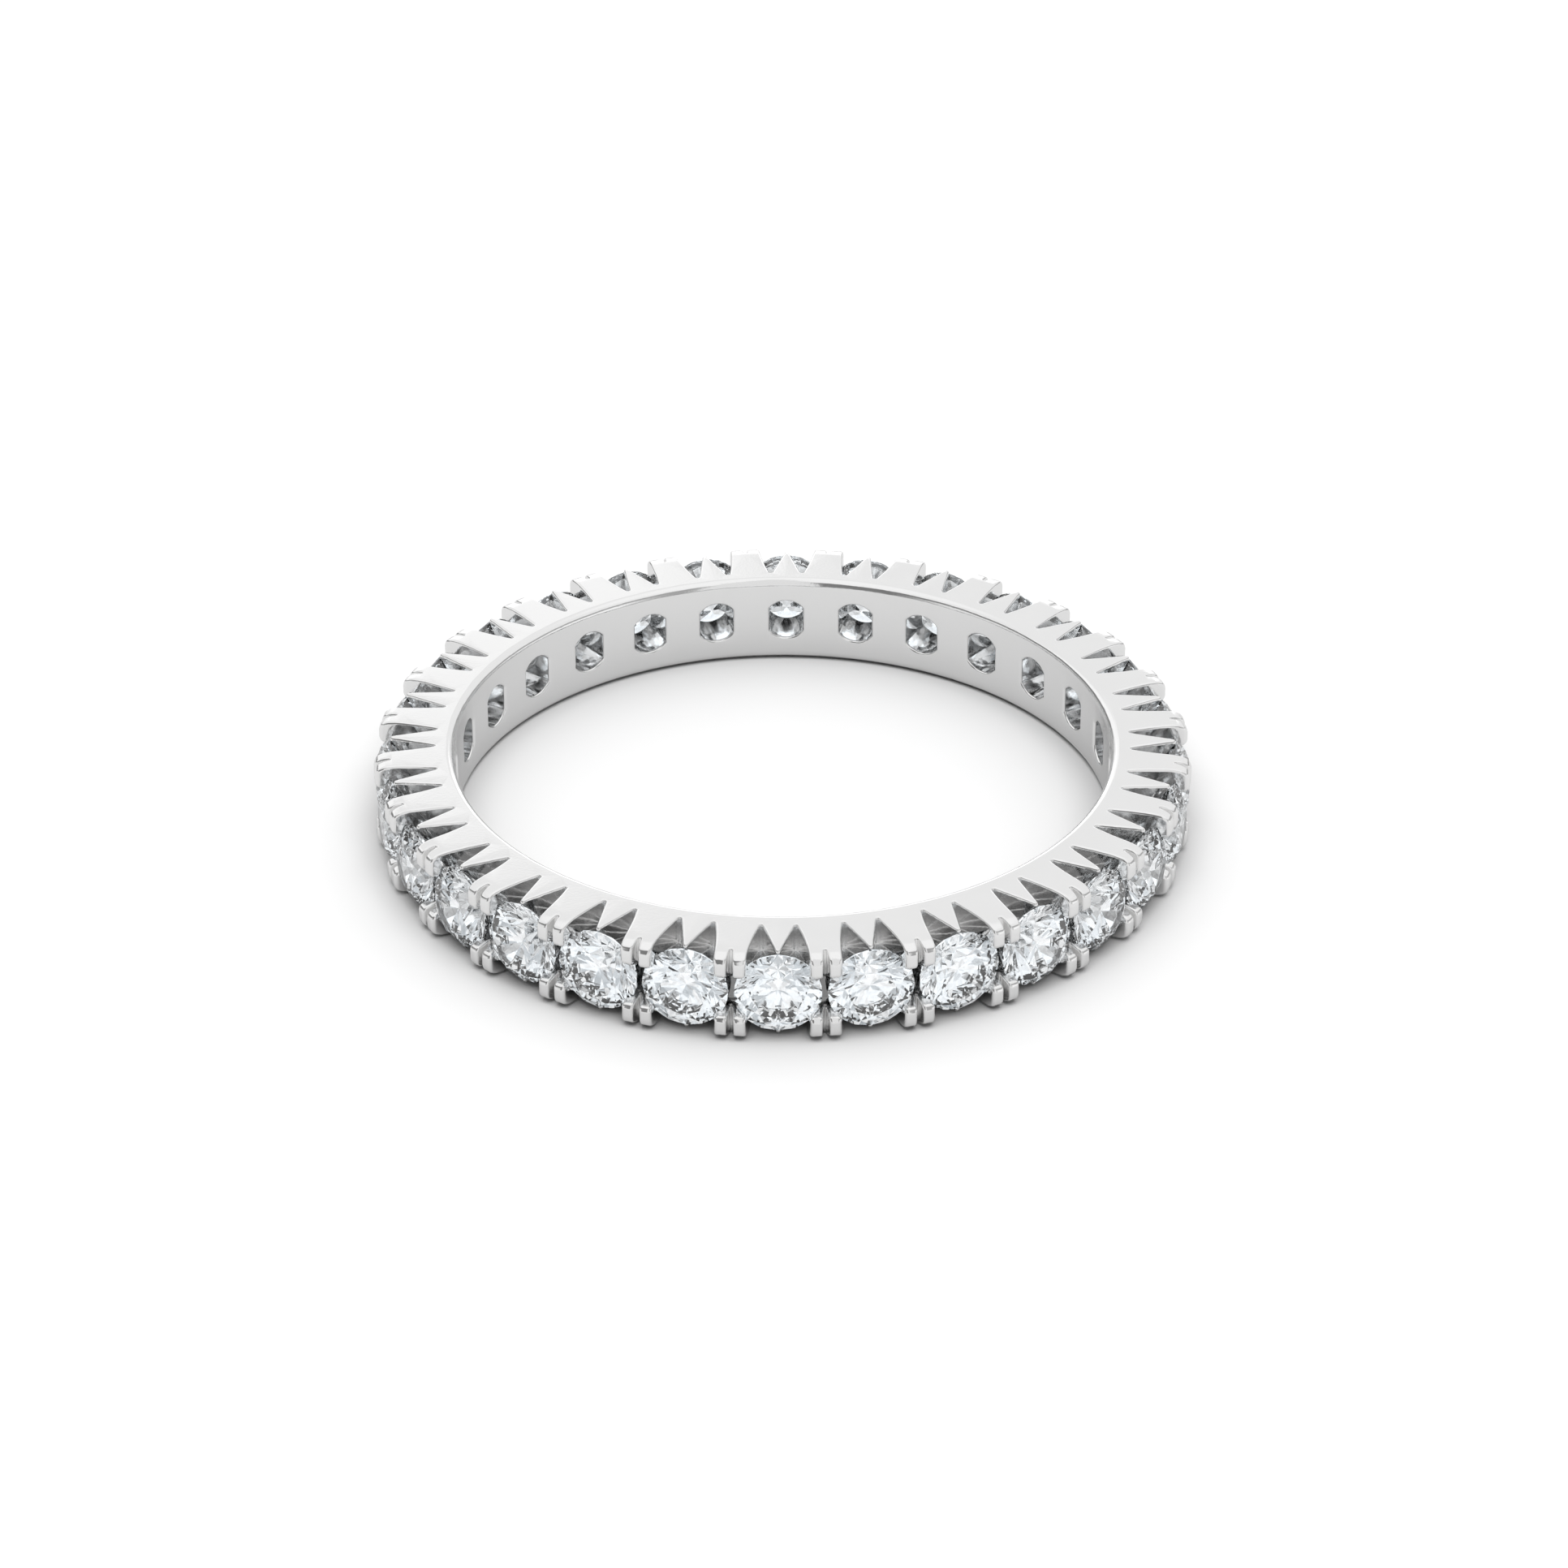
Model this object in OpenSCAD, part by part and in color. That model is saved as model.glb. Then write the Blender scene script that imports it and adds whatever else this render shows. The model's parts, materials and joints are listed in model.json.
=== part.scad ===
// Full eternity ring: a cast band whose paired prongs hold one row of round brilliants.
// Sizes are in millimetres. The finger bore runs along Z and the ring lies on its side on z = 0.

/* [Finger bore] */
// Inside diameter of the band
bore_d = 17; // [15:0.1:20]
// Radius that rounds both edges of the finger bore
bore_edge_r = 0.22; // [0.08:0.01:0.4]

/* [Stones] */
// Girdle diameter of each stone
stone_d = 2.16; // [1.8:0.01:2.6]
// Least gap between the girdles of two neighbours, which sets how many stones there are
stone_gap = 0.11; // [0.08:0.01:0.4]
// Width of the table as a share of the girdle diameter
table_share = 0.57; // [0.5:0.01:0.64]
// Slope of the bezel facets
crown_angle = 34.5; // [30:0.5:37]
// Slope of the pavilion main facets
pavilion_angle = 40.75; // [38:0.25:43]
// Height of the girdle where the facets meet it
girdle_t = 0.065; // [0.05:0.005:0.12]
// How far each star facet reaches from the table's edge towards the girdle, as a share
star_share = 0.5; // [0.4:0.01:0.6]
// How far each lower girdle facet reaches from the girdle towards the culet, as a share
lower_share = 0.77; // [0.65:0.01:0.85]

/* [Setting] */
// Metal and air between the finger bore and the point of a stone
culet_rise = 0.72; // [0.5:0.01:1.2]
// How far the tables lie below the tips of the prongs
table_sink = 0.045; // [0:0.005:0.15]
// Clearance between a stone and its seat
seat_gap = 0.02; // [0.01:0.005:0.06]
// How far the band stands past the girdles on each side
side_margin = 0.14; // [0.1:0.01:0.5]
// Thickness of the wall between the finger bore and the tips of the notches
wall_t = 0.5; // [0.4:0.01:0.9]

/* [Prongs] */
// Width of a pair of prongs, measured round the ring at their tips
pair_w = 0.8; // [0.6:0.01:1.1]
// Radius of the hollow flanks that widen a pair of prongs towards the bore
flank_r = 8.2; // [4:0.1:12]
// Height of the outer face of a prong along the ring's axis
pad_h = 0.47; // [0.3:0.01:0.6]
// Chamfer between the outer face of a prong and its side
pad_chamfer = 0.1; // [0.04:0.005:0.15]
// Length over which the sides of the band bend down towards the prong tips
ease_l = 0.5; // [0.3:0.01:0.8]
// How far the sides have bent down where the chamfer starts
ease_drop = 0.06; // [0.03:0.005:0.2]
// Depth of the saddle between the upper and the lower prongs
saddle_depth = 0.6; // [0.4:0.01:0.8]
// How much each wall of the saddle leans over its depth
saddle_lean = 0.22; // [0:0.01:0.3]

/* [Groove between two prongs] */
// Width of the groove at the prong tips
groove_w = 0.18; // [0.1:0.01:0.3]
// Width of its round bottom
groove_bottom_w = 0.07; // [0.04:0.01:0.1]
// Depth of the groove
groove_depth = 0.42; // [0.2:0.01:0.5]

/* [Teeth under the stones] */
// Width of a tooth at the tips of the notches
tooth_w = 0.78; // [0.5:0.01:0.9]
// Width of its round nose
nose_w = 0.15; // [0.08:0.01:0.2]
// How far the nose reaches past the upper edge of the girdle, negative where it stops short
nose_reach = -0.04; // [-0.1:0.01:0.2]

/* [Azure holes] */
// Height of each hole along the ring's axis
azure_h = 1.13; // [0.8:0.01:1.4]
// Width of each hole round the ring
azure_w = 0.91; // [0.6:0.01:1.1]
// Least metal between a hole and the notches beside it
web_t = 0.05; // [0.03:0.01:0.15]

/* [Hidden] */
$fn = 96;
// Overlap that makes cuts run clean past a face
past = 0.2;

bore_r = bore_d / 2;
stone_r = stone_d / 2;
crown_h = stone_r * (1 - table_share) * tan(crown_angle);
pavilion_h = stone_r * tan(pavilion_angle);

// Radii of the stone's levels, measured from the ring's axis
culet_r = bore_r + culet_rise;
girdle_low_r = culet_r + pavilion_h;
girdle_top_r = girdle_low_r + girdle_t;
table_r = girdle_top_r + crown_h;
tip_r = table_r + table_sink;

stone_count = floor(180 / asin((stone_d + stone_gap) / 2 / girdle_low_r));
pitch = 360 / stone_count;
// A pair of prongs lies on -Y, so the first stone is half a pitch away from it
first_turn = pitch / 2;

band_w = stone_d + 2 * side_margin;
half_w = band_w / 2;
// Half height of the saddle at the prong tips
saddle_half = half_w - ease_drop - pad_chamfer - pad_h;
saddle_r = tip_r - saddle_depth;

// The notches end in a circle that fits between the tooth and the prong block
notch_tip_r = bore_r + wall_t;
function block_half(r) = pair_w / 2 + flank_r - sqrt(pow(flank_r, 2) - pow(tip_r - r, 2));
notch_end_w = notch_tip_r * sin(pitch / 2) - block_half(notch_tip_r) - tooth_w / 2;
notch_end_r = max(notch_end_w / 2, past / 20);
notch_base_r = notch_tip_r + notch_end_r;
notch_turn = asin((tooth_w / 2 + notch_end_r) / notch_base_r);

stone_names = [for (i = [1 : stone_count]) str("stone_", i < 10 ? "0" : "", i)];

// A round brilliant with its culet at the origin and its table up
module brilliant() {
    eighth = 45;
    chord = cos(eighth / 4);
    low = pavilion_h;
    top = pavilion_h + girdle_t;
    table_half = stone_r * table_share;
    // Star points lie where two bezel facets meet
    edge_half = table_half * cos(eighth / 2);
    star_half = edge_half + star_share * (stone_r - edge_half);
    star_rise = (stone_r - star_half * cos(eighth / 2)) * tan(crown_angle);
    // Pavilion points lie where two main facets meet
    lower_half = stone_r * (1 - lower_share);
    lower_drop = (stone_r - lower_half * cos(eighth / 2)) * tan(pavilion_angle);
    // Between its corners each girdle facet runs a little past the chord
    bulge = stone_r * (1 - chord);
    upper_dip = bulge * star_rise / (stone_r - star_half) / chord;
    lower_dip = bulge * lower_drop / (stone_r - lower_half) / chord;
    points = concat(
        [for (i = [0 : 7]) [table_half * cos(i * eighth), table_half * sin(i * eighth), top + crown_h]],
        [for (i = [0 : 7]) let (a = (i + 0.5) * eighth)
            [star_half * cos(a), star_half * sin(a), top + star_rise]],
        [for (j = [0 : 31]) let (a = j * eighth / 4)
            [stone_r * cos(a), stone_r * sin(a), top - (j % 2) * upper_dip]],
        [for (j = [0 : 31]) let (a = j * eighth / 4)
            [stone_r * cos(a), stone_r * sin(a), low + (j % 2) * lower_dip]],
        [for (i = [0 : 7]) let (a = (i + 0.5) * eighth)
            [lower_half * cos(a), lower_half * sin(a), low - lower_drop]],
        [[0, 0, 0]]
    );
    // First index of each ring of points
    star = 8;
    upper = 16;
    lower = 48;
    mains = 80;
    culet = 88;
    faces = concat(
        [[for (i = [7 : -1 : 0]) i]],
        [for (i = [0 : 7]) [(i + 1) % 8, star + i, i]],
        [for (i = [0 : 7]) [i, star + i, upper + 4 * i, star + (i + 7) % 8]],
        [for (i = [0 : 7], s = [0, 2])
            [star + i, upper + (4 * i + s + 2) % 32, upper + 4 * i + s + 1, upper + 4 * i + s]],
        [for (j = [0 : 31]) [upper + j, upper + (j + 1) % 32, lower + (j + 1) % 32, lower + j]],
        [for (i = [0 : 7], s = [0, 2])
            [mains + i, lower + 4 * i + s, lower + 4 * i + s + 1, lower + (4 * i + s + 2) % 32]],
        [for (i = [0 : 7]) [culet, mains + (i + 7) % 8, lower + 4 * i, mains + i]]
    );
    polyhedron(points, faces, convexity = 2);
}

// Puts what stands on the ring's middle plane at one place round the ring, its Z turned outwards
module round_the_ring(turn, r) {
    translate([0, 0, half_w]) rotate([0, 0, turn - 90]) translate([r, 0, 0]) rotate([0, 90, 0]) children();
}

module stone(i) {
    color("white") round_the_ring(first_turn + i * pitch, culet_r) brilliant();
}

// Cross-section of the band as it would be with no notches, holes or seats
module section() {
    ease_r = (pow(ease_l, 2) + pow(ease_drop, 2)) / 2 / ease_drop;
    ease_end = tip_r - pad_chamfer;
    difference() {
        translate([bore_r, -half_w]) square([tip_r - bore_r, band_w]);
        for (side = [-1, 1]) scale([1, side]) {
            // Rounded edge of the finger bore
            difference() {
                translate([bore_r - past, half_w - bore_edge_r]) square(bore_edge_r + past);
                translate([bore_r + bore_edge_r, half_w - bore_edge_r]) circle(bore_edge_r);
            }
            // Bend of the side towards the prong tips
            difference() {
                translate([ease_end - ease_l, half_w - ease_drop]) square([ease_l + past, ease_drop + past]);
                translate([ease_end - ease_l, half_w - ease_r]) circle(ease_r, $fn = 360);
            }
            // Chamfer of the prong's outer face
            polygon([
                [ease_end, half_w - ease_drop],
                [ease_end, half_w + past],
                [tip_r + past, half_w + past],
                [tip_r + past, half_w - ease_drop - pad_chamfer],
                [tip_r, half_w - ease_drop - pad_chamfer]
            ]);
        }
        // Saddle between the upper and the lower prongs
        polygon([
            [saddle_r, -saddle_half + saddle_lean],
            [saddle_r, saddle_half - saddle_lean],
            [tip_r, saddle_half],
            [tip_r + past, saddle_half],
            [tip_r + past, -saddle_half],
            [tip_r, -saddle_half]
        ]);
    }
}

// Middle of the band behind the stones, which keeps the azure holes closed where the notches pass them
module core_section() {
    root_half = sqrt(max(pow(azure_h, 2) - pow(tooth_w, 2), 0)) / 2 + web_t;
    core_half = azure_h / 2 + web_t;
    core_r = culet_r + core_half * tan(pavilion_angle);
    polygon([
        [notch_tip_r - wall_t / 2, -root_half],
        [notch_tip_r, -root_half],
        [core_r, -core_half],
        [core_r, core_half],
        [notch_tip_r, root_half],
        [notch_tip_r - wall_t / 2, root_half]
    ]);
}

// Outline of one prong pair from the side, with hollow flanks
module block_outline() {
    reach = tip_r + past - notch_tip_r;
    root_half = block_half(notch_tip_r);
    difference() {
        translate([-root_half, notch_tip_r]) square([2 * root_half, reach]);
        for (side = [-1, 1])
            translate([side * (pair_w / 2 + flank_r), tip_r]) circle(flank_r, $fn = 360);
        groove_outline();
    }
}

// Groove between the two prongs of a pair
module groove_outline() {
    bottom = tip_r - groove_depth + groove_bottom_w / 2;
    translate([0, bottom]) circle(groove_bottom_w / 2, $fn = 32);
    polygon([
        [-groove_bottom_w / 2, bottom],
        [groove_bottom_w / 2, bottom],
        [groove_w / 2, tip_r],
        [groove_w / 2, tip_r + 2 * past],
        [-groove_w / 2, tip_r + 2 * past],
        [-groove_w / 2, tip_r]
    ]);
}

// Outline of the tooth under one stone, narrowing to a round nose
module tooth_outline() {
    nose_r = girdle_top_r + nose_reach - nose_w / 2;
    translate([0, nose_r]) circle(nose_w / 2, $fn = 32);
    polygon([
        [-tooth_w / 2, notch_base_r],
        [0, notch_tip_r - wall_t / 2],
        [tooth_w / 2, notch_base_r],
        [nose_w / 2, nose_r],
        [-nose_w / 2, nose_r]
    ]);
}

// The band seen along the ring's axis: a plain ring inside, blocks and teeth outside
module side_outline() {
    difference() {
        circle(notch_base_r, $fn = 360);
        circle(bore_r - past, $fn = 360);
        for (i = [0 : stone_count - 1], side = [-1, 1])
            rotate(first_turn + i * pitch + side * notch_turn)
                translate([0, notch_base_r]) circle(notch_end_r, $fn = 32);
    }
    for (i = [0 : stone_count - 1]) {
        rotate(first_turn + i * pitch) tooth_outline();
        rotate(i * pitch) block_outline();
    }
}

// Room for one stone, with its clearance all round, open beyond the table
module seat() {
    room = stone_r + seat_gap;
    below = seat_gap / cos(pavilion_angle) - seat_gap * tan(pavilion_angle);
    above = seat_gap / cos(crown_angle) - seat_gap * tan(crown_angle);
    girdle_top = pavilion_h + girdle_t;
    table_half = stone_r * table_share;
    rotate_extrude() polygon([
        [0, -seat_gap / cos(pavilion_angle)],
        [room, pavilion_h - below],
        [room, girdle_top + above],
        [table_half, girdle_top + crown_h + above + seat_gap * tan(crown_angle)],
        [table_half, girdle_top + crown_h + table_sink + past],
        [0, girdle_top + crown_h + table_sink + past]
    ]);
}

// Hole from the finger bore to the back of one stone: round, with flat cheeks
module azure_hole() {
    low = -culet_rise - past;
    length = culet_rise + azure_h;
    intersection() {
        translate([0, 0, low]) cylinder(h = length, d = azure_h);
        translate([-azure_h, -azure_w / 2, low - past]) cube([2 * azure_h, azure_w, length + 2 * past]);
    }
}

module band() {
    color("silver") difference() {
        union() {
            intersection() {
                translate([0, 0, half_w]) rotate_extrude($fn = 360) section();
                translate([0, 0, -past]) linear_extrude(band_w + 2 * past) rotate(180) side_outline();
            }
            translate([0, 0, half_w]) rotate_extrude($fn = 360) core_section();
        }
        for (i = [0 : stone_count - 1]) round_the_ring(first_turn + i * pitch, culet_r) {
            seat();
            azure_hole();
        }
    }
}

band();
for (i = [0 : stone_count - 1])
    stone(i);
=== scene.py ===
"""An eternity ring on a pale floor: the metal as one finely rounded mesh, the stones clear.

The band's surface is the zero level of a distance function. It is built from the same sizes as
the solid that it replaces, with the small round edges that casting and polishing leave. Sizes
are in millimetres until a mesh is made. Those of the floor's reach, the lamps and the range
that the camera sees are in metres.
"""
import json
import math

import bpy
import numpy as np
from mathutils import Matrix, Vector


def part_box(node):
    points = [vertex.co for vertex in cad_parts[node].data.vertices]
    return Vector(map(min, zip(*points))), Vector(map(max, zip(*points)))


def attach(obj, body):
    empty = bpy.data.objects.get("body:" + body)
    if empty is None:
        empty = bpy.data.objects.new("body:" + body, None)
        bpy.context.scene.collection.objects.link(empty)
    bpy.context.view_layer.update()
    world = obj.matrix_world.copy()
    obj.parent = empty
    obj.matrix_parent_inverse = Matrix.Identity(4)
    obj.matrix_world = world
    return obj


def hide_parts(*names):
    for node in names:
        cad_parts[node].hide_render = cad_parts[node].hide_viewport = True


MM = 0.001

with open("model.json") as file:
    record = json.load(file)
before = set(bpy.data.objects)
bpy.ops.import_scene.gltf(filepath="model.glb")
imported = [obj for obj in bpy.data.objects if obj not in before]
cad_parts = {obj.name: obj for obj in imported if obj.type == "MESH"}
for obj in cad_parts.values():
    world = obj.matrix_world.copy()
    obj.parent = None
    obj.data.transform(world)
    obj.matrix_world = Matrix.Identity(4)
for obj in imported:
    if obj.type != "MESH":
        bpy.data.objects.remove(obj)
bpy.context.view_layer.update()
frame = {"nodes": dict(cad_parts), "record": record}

# Sizes that the frame holds
finger_bore = next(m for m in frame["record"]["mounts"] if m["name"] == "finger_bore")
bore_r = finger_bore["dims"]["r_mm"]
half_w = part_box("band")[1].z / MM / 2
stone_nodes = sorted(name for name in frame["nodes"] if name.startswith("stone_"))
stone_count = len(stone_nodes)
pitch = 2 * math.pi / stone_count
first_turn = pitch / 2

# Stones
stone_r = 1.08
table_share = 0.57
crown_angle = math.radians(34.5)
pavilion_angle = math.radians(40.75)
girdle_t = 0.065
culet_above_bore = 0.72
culet_r = bore_r + culet_above_bore
girdle_low = stone_r * math.tan(pavilion_angle)
girdle_top = girdle_low + girdle_t
crown_h = stone_r * (1 - table_share) * math.tan(crown_angle)
seat_gap = 0.02

# Band, prongs, teeth and holes
bore_edge_r = 0.22
tip_above_table = 0.045
tip_r = culet_r + girdle_top + crown_h + tip_above_table
wall_t = 0.5
notch_tip_r = bore_r + wall_t
pair_w = 0.8
flank_r = 8.2
pad_h = 0.47
pad_chamfer = 0.1
ease_l = 0.5
ease_drop = 0.06
saddle_depth = 0.6
saddle_lean = 0.22
groove_w = 0.18
groove_bottom_w = 0.07
groove_depth = 0.42
tooth_w = 0.78
nose_w = 0.15
nose_reach = -0.04
azure_h = 1.13
azure_w = 0.91
web_t = 0.05

# Small round edges
wall_edge_r = 0.08
pad_edge_r = 0.12
notch_end_r = 0.035
core_fillet_r = 0.03
saddle_fillet_r = 0.08
groove_edge_r = 0.07
seat_edge_r = 0.02
azure_edge_r = 0.07

# Mesh of the band
cell = 0.022
margin = 0.1
slope_step = 1e-4
least_slope2 = 0.2
pull_rounds = 4
patch_triangles = 1700
weld_digits = 5

# Noise, with its usual range and its lumps in a metre
noise_detail = 3.0
noise_range = (0.3, 0.7)
wear_lumps = 900
grain_lumps = 14000
stone_lumps = 1500
floor_lumps = 40

# Polished metal, with the grain's height in metres
metal_dim = (0.915, 0.914, 0.912, 1)
metal_bright = (0.94, 0.939, 0.938, 1)
metal_roughness = (0.07, 0.13)
grain_strength = 0.5
grain_height = 1.2e-6

# Painted shade in the recesses behind the stones, with the ends of the soft steps that bound it
painted_shade_tint = (0.3, 0.3, 0.3, 1)
painted_shade_outside_bore = (bore_r + 0.35, bore_r + 1.1)
painted_shade_inside_tips = (tip_r - 0.2, tip_r - 0.45)
painted_shade_below_side = (half_w - 0.15, half_w - 0.6)
painted_shade_facing_along_ring = (0.75, 0.35)
painted_shade_least = 0.1

# Clear stones
diamond_index = 2.417
diamond_blue = (0.93, 0.97, 1.0, 1)
diamond_white = (1.0, 1.0, 1.0, 1)

# Floor boards, with the share of light that each gives back and its depth below zero
floor_boards = (("floor", 0.9, 0.03), ("mirrored_floor", 0.65, 0.02))
floor_reach = 4.0
floor_cloud = 0.01
floor_roughness = 0.9
floor_gloss = 0.1

# Room, as radiance
dome = 0.86
zenith = 0.95
back_wall = 1.3
front_window = 0.78
card_left = 0.2
card_right = 0.38
card_glow = 0.6
left_patch = 0.14

# Ends of the soft steps between the room's parts
zenith_height = (0.75, 0.9)
card_edge_height = 0.49
card_edge_rise = 0.33
card_turn = (-0.25, 0.15)
card_depth = (-0.03, 0.05)
card_front = (-0.96, -0.8)
glow_depth = (0.15, 0.45)
glow_front = (0.5, 0.8)
window_left = (-0.24, -0.18)
window_right = (0.46, 0.56)
patch_side = (-0.03, 0.02)
patch_height = (0.50, 0.54)
wall_height = (0.31, 0.43)
wall_front = (-0.97, -0.92)

# Lamps, with watts, diameter, direction from the ring and a factor on it
floor_lamp = (1.45, 0.5, (0, -0.26, 0.97), 0.5)
front_card = (0.85, 0.9, (-0.08, -0.8, 0.6), 0.4)
back_card = (1.2, 0.9, (0.08, 0.8, 0.6), 0.4)
card_tint = (0.84, 0.93, 1.0)

# Camera, fitted to the photograph
camera_away = 135
camera_rise = math.radians(30.81)
camera_turn = math.radians(-5.74)
camera_roll = math.radians(-0.10)
photo_px = 1932
focal_px = 6394
middle_px = (964.4, 959.0)
sensor_w = 36
sees_from = 0.005
sees_to = 20

# Light paths
clear_bounces = 32
mirror_bounces = 8
matt_bounces = 4
brightest_indirect = 6


def rounded_max(a, b, r):
    """Where two solids overlap, with a round edge of radius r."""
    return np.minimum(-r, np.maximum(a, b)) + np.hypot(np.maximum(r + a, 0), np.maximum(r + b, 0))


def rounded_min(a, b, r):
    """Two solids together, with a round inner corner of radius r."""
    return np.maximum(r, np.minimum(a, b)) - np.hypot(np.maximum(r - a, 0), np.maximum(r - b, 0))


def taper(across, along, low, low_half, high, high_half):
    """Distance from a straight flank, from half width low_half at low to high_half at high."""
    slope = (high_half - low_half) / (high - low)
    return (across - low_half - (along - low) * slope) / math.hypot(1, slope)


def side_and_bore(r, z):
    """The band's plain cross-section: bore, and sides that bend down towards the prong tips."""
    ease_r = (ease_l ** 2 + ease_drop ** 2) / 2 / ease_drop
    ease_start = tip_r - pad_chamfer - ease_l
    bent = np.hypot(r - ease_start, z - (half_w - ease_r)) - ease_r
    side = np.where(r > ease_start, bent, z - half_w)
    return rounded_max(bore_r - r, side, bore_edge_r)


def prong_ends(r, z):
    """Outer faces of the prongs, their chamfer, and the saddle between upper and lower ones."""
    chamfer = (r - tip_r + pad_chamfer + z - half_w + ease_drop) / math.sqrt(2)
    ends = rounded_max(r - tip_r, chamfer, pad_edge_r)
    saddle_r = tip_r - saddle_depth
    saddle_half = half_w - ease_drop - pad_chamfer - pad_h
    wall = -taper(z, r, saddle_r, saddle_half - saddle_lean, tip_r, saddle_half)
    return rounded_max(ends, rounded_min(r - saddle_r, wall, saddle_fillet_r), pad_edge_r)


def outline(turn, r):
    """The band seen along its axis: a ring, a tooth under each stone, a block between two."""
    across = r * np.sin(turn)
    along = r * np.cos(turn)
    block_across = r * np.sin(pitch / 2 - turn)
    block_along = r * np.cos(pitch / 2 - turn)
    block = flank_r - np.hypot(block_across - pair_w / 2 - flank_r, block_along - tip_r)
    nose_r = culet_r + girdle_top + nose_reach - nose_w / 2
    flank = taper(across, along, notch_tip_r, tooth_w / 2, nose_r, nose_w / 2)
    nose = np.hypot(across, along - nose_r) - nose_w / 2
    tooth = np.minimum(np.maximum(flank, along - nose_r), nose)
    return rounded_min(np.minimum(block, tooth), r - notch_tip_r, notch_end_r)


def core(r, z):
    """The middle of the band behind the stones, which closes the azure holes' sides."""
    root_half = math.sqrt(azure_h ** 2 - tooth_w ** 2) / 2 + web_t
    core_half = azure_h / 2 + web_t
    core_r = culet_r + core_half * math.tan(pavilion_angle)
    return np.maximum(taper(z, r, notch_tip_r, root_half, core_r, core_half), r - core_r)


def groove(turn, r):
    """The slot between the two prongs of a pair."""
    across = r * np.sin(pitch / 2 - turn)
    along = r * np.cos(pitch / 2 - turn)
    low = tip_r - groove_depth + groove_bottom_w / 2
    flank = taper(across, along, low, groove_bottom_w / 2, tip_r, groove_w / 2)
    return np.where(along > low, flank, np.hypot(across, along - low) - groove_bottom_w / 2)


def seat(q, h):
    """Room for one stone, q from its axis and h above its point."""
    pavilion = q * math.sin(pavilion_angle) - h * math.cos(pavilion_angle) - seat_gap
    girdle = q - stone_r - seat_gap
    crown_rise = (h - girdle_top) * math.cos(crown_angle)
    crown = crown_rise - (stone_r - q) * math.sin(crown_angle) - seat_gap
    above = np.minimum(crown, q - stone_r * table_share)
    return np.maximum(np.maximum(pavilion, girdle), above)


def metal(turn, r, z):
    """Distance from the band's surface, negative in the metal.

    turn runs from a stone, z from the middle plane.
    """
    turn = np.abs(turn)
    turn = pitch / 2 - np.abs(pitch / 2 - turn)
    z = np.abs(z)
    inside = rounded_min(outline(turn, r), core(r, z), core_fillet_r)
    solid = rounded_max(side_and_bore(r, z), inside, wall_edge_r)
    solid = rounded_max(solid, prong_ends(r, z), pad_edge_r)
    solid = rounded_max(solid, -groove(turn, r), groove_edge_r)
    across = r * np.sin(turn)
    q = np.hypot(across, z)
    solid = rounded_max(solid, -seat(q, r * np.cos(turn) - culet_r), seat_edge_r)
    hole = np.maximum(q - azure_h / 2, across - azure_w / 2)
    return rounded_max(solid, -hole, azure_edge_r)


def metal_at(points):
    """The same for points with x across a stone, y out from the ring's axis, z from the middle."""
    x, y, z = points.T
    return metal(np.arctan2(x, y), np.hypot(x, y), z)


def metal_slope(points):
    """Gradient of the distance."""
    shifts = np.eye(3) * slope_step
    steps = [metal_at(points + shift) - metal_at(points - shift) for shift in shifts]
    return np.stack(steps, 1) / (2 * slope_step)


def pulled_to_surface(points):
    """The points moved onto the surface, along its gradient."""
    for _ in range(pull_rounds):
        slope = metal_slope(points)
        move = metal_at(points) / np.maximum((slope ** 2).sum(1), least_slope2)
        points = points - np.clip(move, -cell, cell)[:, None] * slope
    return points


def surface_net(values, axes):
    """Quads over the zero level of a grid of values, one point in each cell that it crosses."""
    inside = values < 0
    cells = tuple(n - 1 for n in values.shape)
    total = np.zeros(cells + (3,))
    count = np.zeros(cells)
    number = np.full(cells, -1)
    grid = np.meshgrid(*axes, indexing="ij")
    one = np.eye(3, dtype=int)
    crossings = []
    for axis in range(3):
        low = tuple(slice(0, -1) if a == axis else slice(None) for a in range(3))
        high = tuple(slice(1, None) if a == axis else slice(None) for a in range(3))
        where = np.argwhere(inside[low] != inside[high])
        start = tuple(where.T)
        end = tuple((where + one[axis]).T)
        share = values[start] / (values[start] - values[end])
        place = np.stack([g[start] + share * (g[end] - g[start]) for g in grid], 1)
        b, c = (axis + 1) % 3, (axis + 2) % 3
        corners = ((1, 1), (0, 1), (0, 0), (1, 0))
        around = [where - shift_b * one[b] - shift_c * one[c] for shift_b, shift_c in corners]
        for neighbour in around:
            good = np.all((neighbour >= 0) & (neighbour < cells), axis=1)
            index = tuple(neighbour[good].T)
            np.add.at(total, index, place[good])
            np.add.at(count, index, 1)
        off_rim = [(where[:, a] > 0) & (where[:, a] < values.shape[a] - 1) for a in (b, c)]
        inner = np.all(off_rim, axis=0)
        crossings.append(([n[inner] for n in around], inside[start][inner]))
    number[count > 0] = np.arange((count > 0).sum())
    points = total[count > 0] / count[count > 0][:, None]
    quads = []
    for around, starts_inside in crossings:
        quad = np.stack([number[tuple(n.T)] for n in around], 1)
        quad[~starts_inside] = quad[~starts_inside][:, ::-1]
        quads.append(quad)
    return points, np.concatenate(quads)


def grid_line(length, steps):
    """Grid places from half a step before zero to half a step past length.

    So both ends of the length are mirror planes.
    """
    return (np.arange(steps + 2) - 0.5) * length / steps


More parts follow.
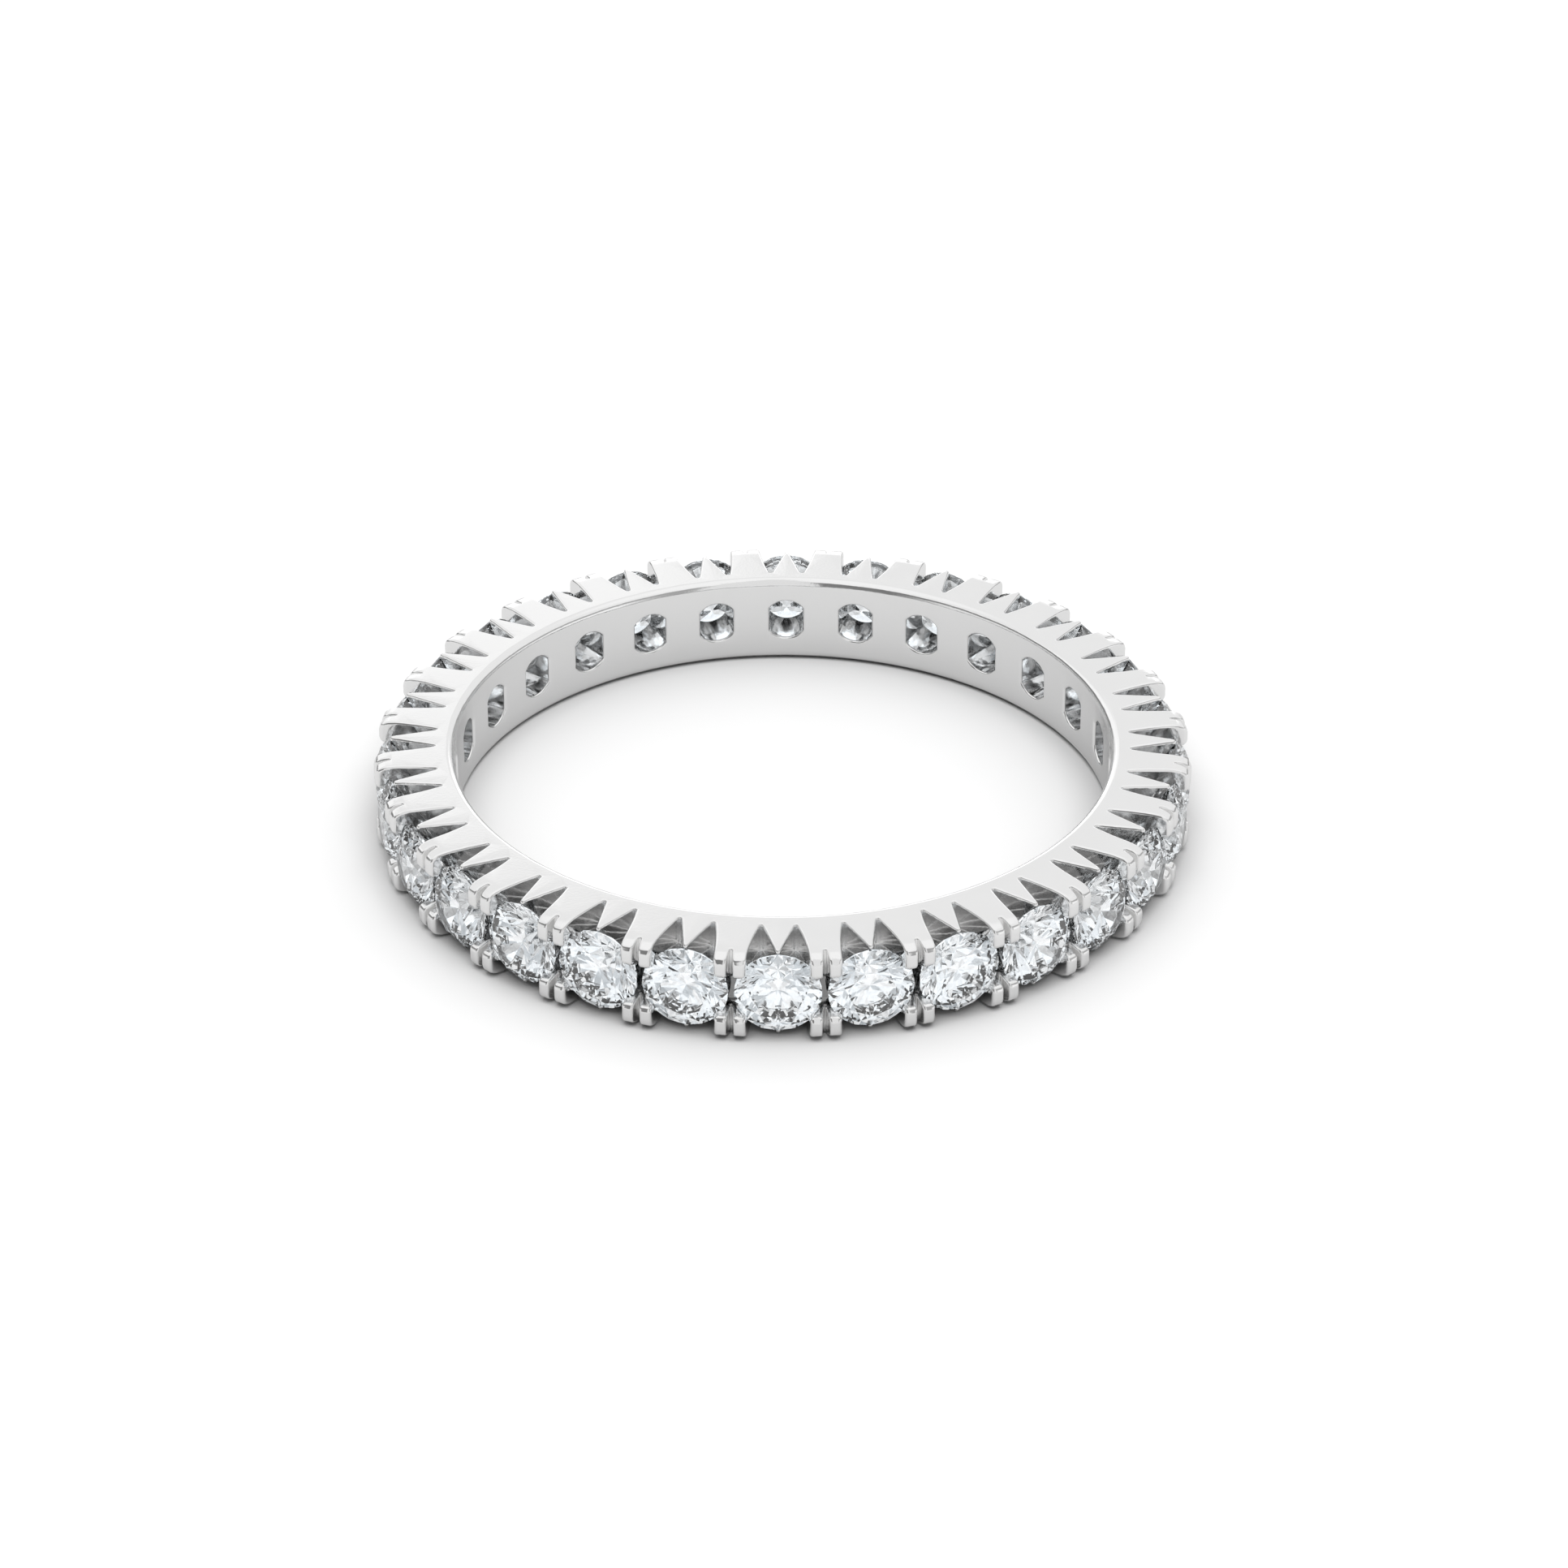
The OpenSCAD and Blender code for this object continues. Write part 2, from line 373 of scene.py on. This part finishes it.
def mesh_from(name, points, faces):
    """A mesh of these points and faces, which all have the same number of sides."""
    mesh = bpy.data.meshes.new(name)
    mesh.vertices.add(len(points))
    mesh.vertices.foreach_set("co", np.asarray(points, np.float32).ravel())
    sides = faces.shape[1]
    mesh.loops.add(faces.size)
    mesh.loops.foreach_set("vertex_index", faces.astype(np.int32).ravel())
    mesh.polygons.add(len(faces))
    mesh.polygons.foreach_set("loop_start", np.arange(0, faces.size, sides, dtype=np.int32))
    mesh.update(calc_edges=True)
    return mesh


def thinned(points, faces, triangles):
    """Fewer triangles: large on the flats, small on the round edges."""
    thing = bpy.data.objects.new("patch", mesh_from("patch", points, faces))
    bpy.context.scene.collection.objects.link(thing)
    modifier = thing.modifiers.new("fewer", "DECIMATE")
    modifier.ratio = triangles / (2 * len(faces))
    modifier.use_collapse_triangulate = True
    evaluated = thing.evaluated_get(bpy.context.evaluated_depsgraph_get())
    small = bpy.data.meshes.new_from_object(evaluated)
    points = np.zeros(len(small.vertices) * 3)
    small.vertices.foreach_get("co", points)
    faces = np.zeros(len(small.polygons) * 3, int)
    small.polygons.foreach_get("vertices", faces)
    bpy.data.objects.remove(thing)
    bpy.data.meshes.remove(small)
    return points.reshape(-1, 3), faces.reshape(-1, 3)


def rim_points(faces):
    """Numbers of the points on a mesh's open edges."""
    edges = np.concatenate([faces[:, [0, 1]], faces[:, [1, 2]], faces[:, [2, 0]]])
    unique, uses = np.unique(np.sort(edges, axis=1), axis=0, return_counts=True)
    return np.unique(unique[uses == 1])


def snapped(points, faces, near):
    """Points on the patch's open edges put exactly on the mirror planes again."""
    rim = rim_points(faces)
    turn = np.arctan2(points[:, 0], points[:, 1])
    radius = np.hypot(points[:, 0], points[:, 1])
    on_stone = rim[np.abs(turn[rim]) * radius[rim] < near]
    on_pair = rim[np.abs(pitch / 2 - turn[rim]) * radius[rim] < near]
    on_middle = rim[np.abs(points[rim, 2]) < near]
    turn[on_stone] = 0
    turn[on_pair] = pitch / 2
    points[:, 0] = radius * np.sin(turn)
    points[:, 1] = radius * np.cos(turn)
    points[on_middle, 2] = 0
    return points


def band_patch():
    """A quarter of what belongs to one stone: half its width, and the upper half of its height."""
    turn_line = grid_line(pitch / 2, round(pitch / 2 * tip_r / cell))
    radius_line = np.arange(bore_r - margin, tip_r + margin, cell)
    height_line = grid_line(half_w + margin, round((half_w + margin) / cell))
    grid = np.meshgrid(turn_line, radius_line, height_line, indexing="ij")
    points, quads = surface_net(metal(*grid), (turn_line, radius_line, height_line))
    turn, radius, height = points.T
    points = np.stack([radius * np.sin(turn), radius * np.cos(turn), height], 1)
    points, faces = thinned(pulled_to_surface(points), quads, patch_triangles)
    return pulled_to_surface(snapped(points, faces, cell / 2)), faces


def band_mesh():
    """The patch mirrored and repeated round the ring, and welded.

    Large faces lead the normals, so flats stay flat.
    """
    patch, patch_faces = band_patch()
    points, faces = [], []
    for i in range(stone_count):
        turn = first_turn + i * pitch
        out = np.array([math.sin(turn), -math.cos(turn), 0])
        along = np.array([math.cos(turn), math.sin(turn), 0])
        for side in (-1, 1):
            for up in (-1, 1):
                facing = patch_faces if side * up < 0 else patch_faces[:, ::-1]
                faces.append(facing + len(points) * len(patch))
                points.append(patch @ np.stack([side * along, out, np.array([0, 0, up])]))
    points = np.concatenate(points) + np.array([0, 0, half_w])
    rounded = np.round(points, weld_digits)
    _, first, number = np.unique(rounded, axis=0, return_index=True, return_inverse=True)
    points = points[first]
    faces = number.reshape(-1)[np.concatenate(faces)]
    faces = faces[np.all(faces != np.roll(faces, 1, axis=1), axis=1)]
    a, b, c = (points[faces[:, i]] for i in range(3))
    lean = np.zeros_like(points)
    for i in range(3):
        np.add.at(lean, faces[:, i], np.cross(b - a, c - a))
    mesh = mesh_from("band_metal", points * MM, faces)
    mesh.polygons.foreach_set("use_smooth", np.ones(len(mesh.polygons), bool))
    mesh.normals_split_custom_set_from_vertices(lean / np.linalg.norm(lean, axis=1)[:, None])
    return mesh


class Nodes:
    """Short calls for the nodes of one material or of the world. Most return a result socket."""

    def __init__(self, tree):
        self.tree = tree

    def add(self, kind, **settings):
        """A new node with these settings."""
        node = self.tree.nodes.new("ShaderNode" + kind)
        for name, value in settings.items():
            setattr(node, name, value)
        return node

    def put(self, value, socket):
        """Another node's result linked to a socket, or a number or colour set on it."""
        if isinstance(value, bpy.types.NodeSocket):
            self.tree.links.new(value, socket)
        else:
            socket.default_value = value

    def math(self, operation, *values):
        """A sum, product or the like of numbers and other nodes' results."""
        node = self.add("Math", operation=operation)
        for value, socket in zip(values, node.inputs):
            self.put(value, socket)
        return node.outputs["Value"]

    def ramp(self, value, start, end, low=0, high=1, kind="SMOOTHSTEP"):
        """A step that is low before start and high after end."""
        node = self.add("MapRange", interpolation_type=kind)
        names = ("Value", "From Min", "From Max", "To Min", "To Max")
        for name, number in zip(names, (value, start, end, low, high)):
            self.put(number, node.inputs[name])
        return node.outputs["Result"]

    def noise(self, place, lumps):
        """Soft noise, with about so many lumps in a metre."""
        node = self.add("TexNoise")
        self.put(lumps, node.inputs["Scale"])
        self.put(noise_detail, node.inputs["Detail"])
        self.put(place, node.inputs["Vector"])
        return node.outputs["Fac"]

    def spread(self, noise, low, high):
        """Noise stretched from its usual range to the one from low to high."""
        return self.ramp(noise, *noise_range, low, high, kind="LINEAR")

    def mix(self, share, a, b):
        """Colour a where the share is 0, and colour b where it is 1."""
        node = self.add("Mix", data_type="RGBA")
        for name, value in (("Factor", share), ("A", a), ("B", b)):
            self.put(value, node.inputs[name])
        return node.outputs["Result"]

    def split(self, vector):
        """The x, y and z of a vector."""
        node = self.add("SeparateXYZ")
        self.put(vector, node.inputs["Vector"])
        return node.outputs

    def off_axis(self, x, y):
        """The length of x and y together."""
        squares = (self.math("MULTIPLY", part, part) for part in (x, y))
        return self.math("SQRT", self.math("ADD", *squares))


def new_material(name):
    """A new material, the calls for its nodes, and the sockets of its shader."""
    material = bpy.data.materials.new(name)
    material.use_nodes = True
    tree = material.node_tree
    return material, Nodes(tree), tree.nodes["Principled BSDF"].inputs


def painted_shade_share(nodes, place, normal):
    """The share of painted shade: 1 on the core and in the recesses behind the stones, and 0 on the
    polished metal.

    The notches' walls, which face along the ring, keep only a little of it.
    """
    x, y, z = nodes.split(place)
    radius = nodes.off_axis(x, y)
    height = nodes.math("ABSOLUTE", nodes.math("SUBTRACT", z, half_w * MM))
    share = nodes.ramp(radius, *(r * MM for r in painted_shade_outside_bore))
    inside_tips = nodes.ramp(radius, *(r * MM for r in painted_shade_inside_tips))
    share = nodes.math("MULTIPLY", share, inside_tips)
    below_side = nodes.ramp(height, *(h * MM for h in painted_shade_below_side))
    share = nodes.math("MULTIPLY", share, below_side)
    around = nodes.add("VectorMath", operation="CROSS_PRODUCT")
    nodes.put(place, around.inputs[0])
    nodes.put(normal, around.inputs[1])
    twist = nodes.split(around.outputs["Vector"])["Z"]
    sideways = nodes.math("DIVIDE", nodes.math("ABSOLUTE", twist), radius)
    facing = nodes.ramp(sideways, *painted_shade_facing_along_ring)
    facing = nodes.math("MULTIPLY_ADD", facing, 1 - painted_shade_least, painted_shade_least)
    return nodes.math("MULTIPLY", share, facing)


def polished_white_gold():
    """Rhodium-bright metal: a high polish with faint cloudy wear and very fine polishing grain.

    On the core and in the recesses behind the stones, painted shade darkens the metal's colour.
    """
    material, nodes, shader = new_material("polished_white_gold")
    nodes.put(1.0, shader["Metallic"])
    coordinates = nodes.add("TexCoord")
    place = coordinates.outputs["Object"]
    wear = nodes.noise(place, wear_lumps)
    nodes.put(nodes.spread(wear, *metal_roughness), shader["Roughness"])
    # Painted shade: the colour turns dark grey on the core and in the recesses behind the stones
    share = painted_shade_share(nodes, place, coordinates.outputs["Normal"])
    tint = nodes.mix(share, nodes.mix(wear, metal_dim, metal_bright), painted_shade_tint)
    nodes.put(tint, shader["Base Color"])
    bump = nodes.add("Bump")
    nodes.put(grain_strength, bump.inputs["Strength"])
    nodes.put(grain_height, bump.inputs["Distance"])
    nodes.put(nodes.spread(nodes.noise(place, grain_lumps), 0, 1), bump.inputs["Height"])
    nodes.put(bump.outputs["Normal"], shader["Normal"])
    return material


def diamond():
    """Clear, colourless stone with sharp facets and the faintest unevenness of tone inside."""
    material, nodes, shader = new_material("diamond")
    nodes.put(1.0, shader["Transmission Weight"])
    nodes.put(diamond_index, shader["IOR"])
    nodes.put(0.0, shader["Roughness"])
    cloud = nodes.noise(nodes.add("TexCoord").outputs["Object"], stone_lumps)
    nodes.put(nodes.mix(cloud, diamond_blue, diamond_white), shader["Base Color"])
    return material


def studio_floor(name, low, high):
    """Matt board with a faint cloudiness."""
    material, nodes, shader = new_material(name)
    nodes.put(floor_roughness, shader["Roughness"])
    nodes.put(floor_gloss, shader["Specular IOR Level"])
    cloud = nodes.noise(nodes.add("TexCoord").outputs["Object"], floor_lumps)
    shade = nodes.spread(cloud, low, high)
    tint = nodes.add("CombineColor")
    for channel in ("Red", "Green", "Blue"):
        nodes.put(shade, tint.inputs[channel])
    nodes.put(tint.outputs["Color"], shader["Base Color"])
    return material


def dress():
    """The band's fine mesh in place of its plain solid, and the stones' own solids made clear."""
    band = bpy.data.objects.new("cast_band", band_mesh())
    bpy.context.scene.collection.objects.link(band)
    band.data.materials.append(polished_white_gold())
    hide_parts("band")
    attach(band, "root")
    clear = diamond()
    for name in stone_nodes:
        stone = frame["nodes"][name].data
        stone.materials.clear()
        stone.materials.append(clear)
        stone.polygons.foreach_set("use_smooth", np.zeros(len(stone.polygons), bool))


def add_lamp(name, lamp, lit, tint=(1, 1, 1)):
    """A round soft lamp that shines on the objects in lit alone."""
    watts, size, direction, away = lamp
    place = Vector(direction) * away
    data = bpy.data.lights.new(name, "AREA")
    data.shape = "DISK"
    data.size = size
    data.energy = watts
    data.color = tint
    thing = bpy.data.objects.new(name, data)
    thing.location = place
    thing.rotation_euler = place.to_track_quat("Z", "Y").to_euler()
    bpy.context.scene.collection.objects.link(thing)
    only = bpy.data.collections.new(name + "_only")
    for target in lit:
        only.objects.link(target)
    thing.light_linking.receiver_collection = only


def add_floor():
    """A white board, and a greyer one in the same place that shows in reflections alone.

    A lamp of their own lights both.
    """
    reach = floor_reach
    corners = [(-reach, -reach, 0), (reach, -reach, 0), (reach, reach, 0), (-reach, reach, 0)]
    floors = []
    for name, shade, below in floor_boards:
        mesh = bpy.data.meshes.new(name)
        mesh.from_pydata(corners, [], [(0, 1, 2, 3)])
        mesh.materials.append(studio_floor(name, shade - floor_cloud, shade + floor_cloud))
        floor = bpy.data.objects.new(name, mesh)
        floor.location.z = -below * MM
        bpy.context.scene.collection.objects.link(floor)
        floors.append(floor)
    seen, mirrored = floors
    seen.visible_glossy = False
    mirrored.visible_camera = False
    mirrored.visible_diffuse = False
    mirrored.visible_transmission = False
    mirrored.visible_shadow = False
    add_lamp("floor_lamp", floor_lamp, floors)


def add_room():
    """A white room with soft edges, which stands still when the camera moves.

    A bright dome is over the ring, a brighter wall behind it, and darker cards left and right
    of the camera, with a lighter strip between them. The cards draw the dark lines along the
    polished edges and the grey facets in the stones. They glow low at the sides.

    A direction has a side, its x; a height, its z; a turn from the camera's side, in radians;
    and a front, from 1 at the camera's side to -1 behind the ring. Its depth is below the
    cards' upper edge, which rises towards the front.
    """
    world = bpy.data.worlds.new("studio")
    bpy.context.scene.world = world
    world.use_nodes = True
    nodes = Nodes(world.node_tree)
    turned = nodes.add("VectorRotate", rotation_type="Z_AXIS")
    nodes.put(-camera_turn, turned.inputs["Angle"])
    nodes.put(nodes.add("TexCoord").outputs["Generated"], turned.inputs["Vector"])
    side, away, height = nodes.split(turned.outputs["Vector"])
    nearer = nodes.math("MULTIPLY", away, -1)
    front = nodes.math("DIVIDE", nearer, nodes.off_axis(side, away))
    turn = nodes.math("ARCTAN2", side, nearer)
    card_edge = nodes.math("ADD", nodes.math("MULTIPLY", front, card_edge_rise), card_edge_height)
    depth = nodes.math("SUBTRACT", card_edge, height)

    def both(*steps):
        """The product of two soft steps."""
        return nodes.math("MULTIPLY", *(nodes.ramp(*step) for step in steps))

    glow = both((depth, *glow_depth), (front, *glow_front, card_glow, 0))
    card = nodes.math("ADD", nodes.ramp(turn, *card_turn, card_left, card_right), glow)
    in_wall = both((height, *wall_height, 1, 0), (front, *wall_front, 1, 0))
    in_card = both((depth, *card_depth), (front, *card_front))
    in_window = both((turn, *window_left), (turn, *window_right, 1, 0))
    patch = both((side, *patch_side, left_patch, 0), (height, *patch_height, 1, 0))
    light = nodes.math("ADD", nodes.ramp(height, *zenith_height, dome, zenith), patch)
    for share, value in ((in_wall, back_wall), (in_card, card), (in_window, front_window)):
        change = nodes.math("MULTIPLY", share, nodes.math("SUBTRACT", value, light))
        light = nodes.math("ADD", light, change)
    background = world.node_tree.nodes["Background"].inputs
    nodes.put(light, background["Strength"])
    nodes.put((1, 1, 1, 1), background["Color"])


def add_stone_lamps():
    """Two soft lamps in front and behind, for the stones alone, as their facets need more light."""
    stones = [frame["nodes"][name] for name in stone_nodes]
    add_lamp("front_card", front_card, stones, card_tint)
    add_lamp("back_card", back_card, stones, card_tint)


def add_camera():
    """The photograph's camera, with its distance, rise and turn from the ring's front."""
    flat = math.cos(camera_rise)
    away = Vector((math.sin(camera_turn) * flat, -math.cos(camera_turn) * flat,
                   math.sin(camera_rise)))
    data = bpy.data.cameras.new("camera")
    data.sensor_width = sensor_w
    data.lens = focal_px / photo_px * sensor_w
    data.shift_x = (photo_px / 2 - middle_px[0]) / photo_px
    data.shift_y = (middle_px[1] - photo_px / 2) / photo_px
    data.clip_start = sees_from
    data.clip_end = sees_to
    camera = bpy.data.objects.new("camera", data)
    place = Matrix.Translation(Vector((0, 0, half_w * MM)) + away * camera_away * MM)
    look = (-away).to_track_quat("-Z", "Y").to_matrix().to_4x4()
    camera.matrix_world = place @ look @ Matrix.Rotation(camera_roll, 4, "Z")
    bpy.context.scene.collection.objects.link(camera)
    bpy.context.scene.camera = camera


def set_light_paths():
    """Plain colours, and enough bounces for light to get through the stones."""
    scene = bpy.context.scene
    scene.view_settings.view_transform = "Standard"
    scene.cycles.max_bounces = clear_bounces
    scene.cycles.transmission_bounces = clear_bounces
    scene.cycles.glossy_bounces = mirror_bounces
    scene.cycles.diffuse_bounces = matt_bounces
    scene.cycles.caustics_reflective = False
    scene.cycles.caustics_refractive = False
    scene.cycles.sample_clamp_indirect = brightest_indirect
    scene.cycles.use_denoising = True


dress()
add_floor()
add_room()
add_stone_lamps()
add_camera()
set_light_paths()
